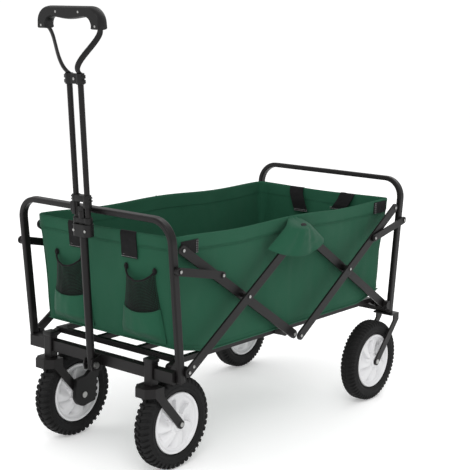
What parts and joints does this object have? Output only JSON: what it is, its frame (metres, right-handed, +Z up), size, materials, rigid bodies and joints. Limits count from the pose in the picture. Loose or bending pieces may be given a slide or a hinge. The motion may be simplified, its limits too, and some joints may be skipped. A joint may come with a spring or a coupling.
{
  "type": "folding camp wagon",
  "caption": "Collapsible fabric-sided camp wagon: end frames on wheels, hinged floor, scissor side bars, open tub with cup pockets and a telescoping pull handle.",
  "frame": {"origin": "on the ground, under the middle of the bounding box", "axes": "+Z up; -Y is the pull end with the handle and the swivel casters; +Y is the back with the fixed wheels; +X is the wagon's left side"},
  "size_m": [0.488, 0.9288, 0.9539],
  "materials": {
    "frame_paint": "satin black powder coat",
    "fabric": "matte woven green polyester",
    "webbing": "black webbing",
    "board": "fabric-covered stiff board",
    "tyre": "matte black",
    "rim": "white moulded plastic",
    "fastener": "zinc-plated steel",
    "black_plastic": "satin black"
  },
  "bodies": {
    "front_frame": {"front_frame_tube": "frame_paint", "front_beam": "frame_paint", "caster_housings": "frame_paint", "front_pivot_bolts": "fastener", "handle_bracket": "frame_paint", "handle_pivot_bolt": "fastener", "tub": "fabric", "left_cup_pocket": "fabric", "right_cup_pocket": "fabric", "front_straps": "webbing", "corner_tabs": "webbing", "left_side_flap": "fabric", "right_side_flap": "fabric"},
    "handle_lower": {"handle_lower_tube": "frame_paint", "latch_sleeve": "black_plastic"},
    "handle_slider": {"handle_legs": "frame_paint", "slide_collar": "black_plastic", "upper_clamp": "black_plastic", "grip": "black_plastic"},
    "release_button": {"release_button": "black_plastic"},
    "floor_front": {"floor_frame_front": "frame_paint", "front_floor_board": "board"},
    "floor_rear": {"floor_frame_rear": "frame_paint", "rear_floor_board": "board"},
    "rear_frame": {"rear_frame_tube": "frame_paint", "rear_beam": "frame_paint", "rear_forks": "frame_paint", "rear_axles": "fastener", "rear_pivot_bolts": "fastener", "rear_straps": "webbing"},
    "front_outer_bars": {"left_front_outer_bar": "frame_paint", "right_front_outer_bar": "frame_paint", "front_outer_rivets": "fastener"},
    "front_inner_bars": {"left_front_inner_bar": "frame_paint", "right_front_inner_bar": "frame_paint", "front_inner_rivets": "fastener"},
    "rear_inner_bars": {"left_rear_inner_bar": "frame_paint", "right_rear_inner_bar": "frame_paint", "rear_inner_rivets": "fastener"},
    "rear_outer_bars": {"left_rear_outer_bar": "frame_paint", "right_rear_outer_bar": "frame_paint", "rear_outer_rivets": "fastener"},
    "front_links": {"front_links": "frame_paint"},
    "rear_links": {"rear_links": "frame_paint"},
    "left_caster": {"left_caster_fork": "frame_paint", "left_caster_hardware": "fastener"},
    "left_caster_wheel": {"left_caster_rim": "rim", "left_caster_tyre": "tyre"},
    "left_brake": {"left_brake_lever": "black_plastic"},
    "left_rear_wheel": {"left_rear_rim": "rim", "left_rear_tyre": "tyre"},
    "right_caster": {"right_caster_fork": "frame_paint", "right_caster_hardware": "fastener"},
    "right_caster_wheel": {"right_caster_rim": "rim", "right_caster_tyre": "tyre"},
    "right_brake": {"right_brake_lever": "black_plastic"},
    "right_rear_wheel": {"right_rear_rim": "rim", "right_rear_tyre": "tyre"}
  },
  "joints": [
    {"name": "fold", "type": "hinge", "parent": "front_frame", "child": "floor_front", "pos_m": [0, -0.34998, 0.232], "axis": [1, 0, 0], "range_deg": [0, 78.62], "deforming": ["tub", "left_side_flap", "right_side_flap", "left_cup_pocket", "right_cup_pocket", "corner_tabs"]},
    {"name": "floor_centre", "type": "hinge", "parent": "floor_front", "child": "floor_rear", "pos_m": [0, 0.03002, 0.232], "axis": [1, 0, 0], "range_deg": [-157.24, 0]},
    {"name": "rear_frame_hinge", "type": "hinge", "parent": "floor_rear", "child": "rear_frame", "pos_m": [0, 0.41002, 0.232], "axis": [1, 0, 0], "range_deg": [0, 78.62]},
    {"name": "front_outer_pivot", "type": "hinge", "parent": "front_frame", "child": "front_outer_bars", "pos_m": [0, -0.34998, 0.232], "axis": [1, 0, 0], "range_deg": [0, 47.36]},
    {"name": "front_cross_pivot", "type": "hinge", "parent": "front_outer_bars", "child": "front_inner_bars", "pos_m": [0, -0.15998, 0.356], "axis": [1, 0, 0], "range_deg": [-94.71, 0]},
    {"name": "rear_inner_pivot", "type": "hinge", "parent": "rear_frame", "child": "rear_inner_bars", "pos_m": [0, 0.41002, 0.232], "axis": [1, 0, 0], "range_deg": [-47.36, 0]},
    {"name": "rear_cross_pivot", "type": "hinge", "parent": "rear_inner_bars", "child": "rear_outer_bars", "pos_m": [0, 0.22002, 0.356], "axis": [1, 0, 0], "range_deg": [0, 94.71]},
    {"name": "front_link_pivot", "type": "hinge", "parent": "front_frame", "child": "front_links", "pos_m": [0, -0.38532, 0.44583], "axis": [1, 0, 0], "range_deg": [0, 78.11]},
    {"name": "rear_link_pivot", "type": "hinge", "parent": "rear_frame", "child": "rear_links", "pos_m": [0, 0.44537, 0.44583], "axis": [1, 0, 0], "range_deg": [-78.11, 0]},
    {"name": "left_caster_swivel", "type": "hinge", "parent": "front_frame", "child": "left_caster", "pos_m": [0.151, -0.37698, 0.195], "axis": [0, 0, 1], "continuous": true},
    {"name": "left_caster_spin", "type": "hinge", "parent": "left_caster", "child": "left_caster_wheel", "pos_m": [0.151, -0.31298, 0.1], "axis": [1, 0, 0], "continuous": true},
    {"name": "left_brake", "type": "hinge", "parent": "left_caster", "child": "left_brake", "pos_m": [0.119, -0.31298, 0.1], "axis": [1, 0, 0], "range_deg": [-12, 0]},
    {"name": "left_rear_spin", "type": "hinge", "parent": "rear_frame", "child": "left_rear_wheel", "pos_m": [0.206, 0.35302, 0.1], "axis": [1, 0, 0], "continuous": true},
    {"name": "right_caster_swivel", "type": "hinge", "parent": "front_frame", "child": "right_caster", "pos_m": [-0.151, -0.37698, 0.195], "axis": [0, 0, 1], "continuous": true},
    {"name": "right_caster_spin", "type": "hinge", "parent": "right_caster", "child": "right_caster_wheel", "pos_m": [-0.151, -0.31298, 0.1], "axis": [1, 0, 0], "continuous": true},
    {"name": "right_brake", "type": "hinge", "parent": "right_caster", "child": "right_brake", "pos_m": [-0.119, -0.31298, 0.1], "axis": [1, 0, 0], "range_deg": [-12, 0]},
    {"name": "right_rear_spin", "type": "hinge", "parent": "rear_frame", "child": "right_rear_wheel", "pos_m": [-0.206, 0.35302, 0.1], "axis": [1, 0, 0], "continuous": true},
    {"name": "handle_pivot", "type": "hinge", "parent": "front_frame", "child": "handle_lower", "pos_m": [0, -0.39998, 0.214], "axis": [1, 0, 0], "range_deg": [0, 95]},
    {"name": "handle_extend", "type": "slide", "parent": "handle_lower", "child": "handle_slider", "axis": [0, -0.0698, 0.9976], "range_m": [-0.222, 0]},
    {"name": "release_press", "type": "slide", "parent": "handle_lower", "child": "release_button", "axis": [1, 0, 0], "range_m": [0, 0.002], "stiffness_N_per_m": 300, "springref_m": -0.003}
  ],
  "couplings": [
    {"joint": "floor_centre", "follows": "fold", "ratio": -2},
    {"joint": "rear_frame_hinge", "follows": "fold", "ratio": 1},
    {"joint": "front_outer_pivot", "follows": "fold", "ratio": 0.60237},
    {"joint": "front_cross_pivot", "follows": "fold", "ratio": -1.2047},
    {"joint": "rear_inner_pivot", "follows": "fold", "ratio": -0.60237},
    {"joint": "rear_cross_pivot", "follows": "fold", "ratio": 1.2047},
    {"joint": "front_link_pivot", "follows": "fold", "ratio": 0.99354},
    {"joint": "rear_link_pivot", "follows": "fold", "ratio": -0.99354}
  ]
}
